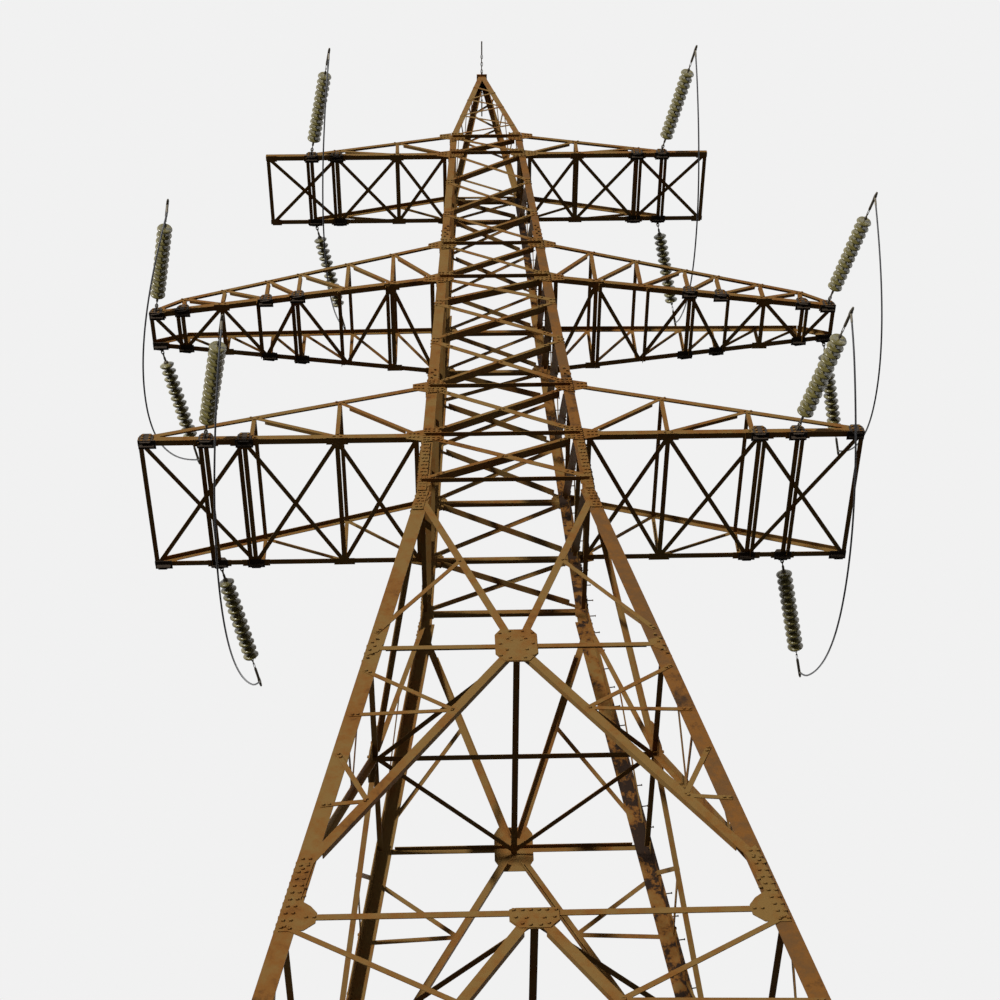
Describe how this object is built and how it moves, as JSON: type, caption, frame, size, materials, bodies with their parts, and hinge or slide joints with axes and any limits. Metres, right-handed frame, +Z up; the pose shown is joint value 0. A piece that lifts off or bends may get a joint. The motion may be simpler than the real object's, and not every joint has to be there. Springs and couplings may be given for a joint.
{
  "type": "lattice transmission pylon",
  "caption": "Double-circuit lattice steel angle tower on four splayed legs, with tapered cross-arms, glass disc strings and hanging jumper loops.",
  "frame": {"origin": "middle of the bounding box at floor level, under the feet's base plates", "axes": "+Z up the tower, arms along -X and +X, line along -Y and +Y; the picture looks from -Y"},
  "size_m": [12.196, 9.2462, 38.7195],
  "materials": {
    "weathered_steel": "matte",
    "glass_discs": "gloss",
    "cable": "satin",
    "fitting_steel": "satin"
  },
  "bodies": {
    "root": {"arm_bottom_left_frame": "weathered_steel", "arm_bottom_left_trusses": "weathered_steel", "arm_bottom_right_frame": "weathered_steel", "arm_bottom_right_trusses": "weathered_steel", "arm_middle_left_frame": "weathered_steel", "arm_middle_left_trusses": "weathered_steel", "arm_middle_right_frame": "weathered_steel", "arm_middle_right_trusses": "weathered_steel", "arm_top_left_frame": "weathered_steel", "arm_top_left_trusses": "weathered_steel", "arm_top_right_frame": "weathered_steel", "arm_top_right_trusses": "weathered_steel", "body_side_far": "weathered_steel", "body_side_left": "weathered_steel", "body_side_near": "weathered_steel", "body_side_right": "weathered_steel", "earth_wire_fittings": "fitting_steel", "earth_wire_peak": "weathered_steel", "jumper_bottom_left": "cable", "jumper_bottom_right": "cable", "jumper_middle_left": "cable", "jumper_middle_right": "cable", "jumper_top_left": "cable", "jumper_top_right": "cable", "leg_far_left": "weathered_steel", "leg_far_right": "weathered_steel", "leg_near_left": "weathered_steel", "leg_near_right": "weathered_steel", "level_frame_1": "weathered_steel", "level_frame_2": "weathered_steel", "level_frame_3": "weathered_steel", "lower_side_far_a": "weathered_steel", "lower_side_far_b": "weathered_steel", "lower_side_left_a": "weathered_steel", "lower_side_left_b": "weathered_steel", "lower_side_near_a": "weathered_steel", "lower_side_near_b": "weathered_steel", "lower_side_right_a": "weathered_steel", "lower_side_right_b": "weathered_steel", "strings_bottom_left": "glass_discs", "strings_bottom_right": "glass_discs", "strings_middle_left": "glass_discs", "strings_middle_right": "glass_discs", "strings_top_left": "glass_discs", "strings_top_right": "glass_discs"}
  },
  "joints": []
}
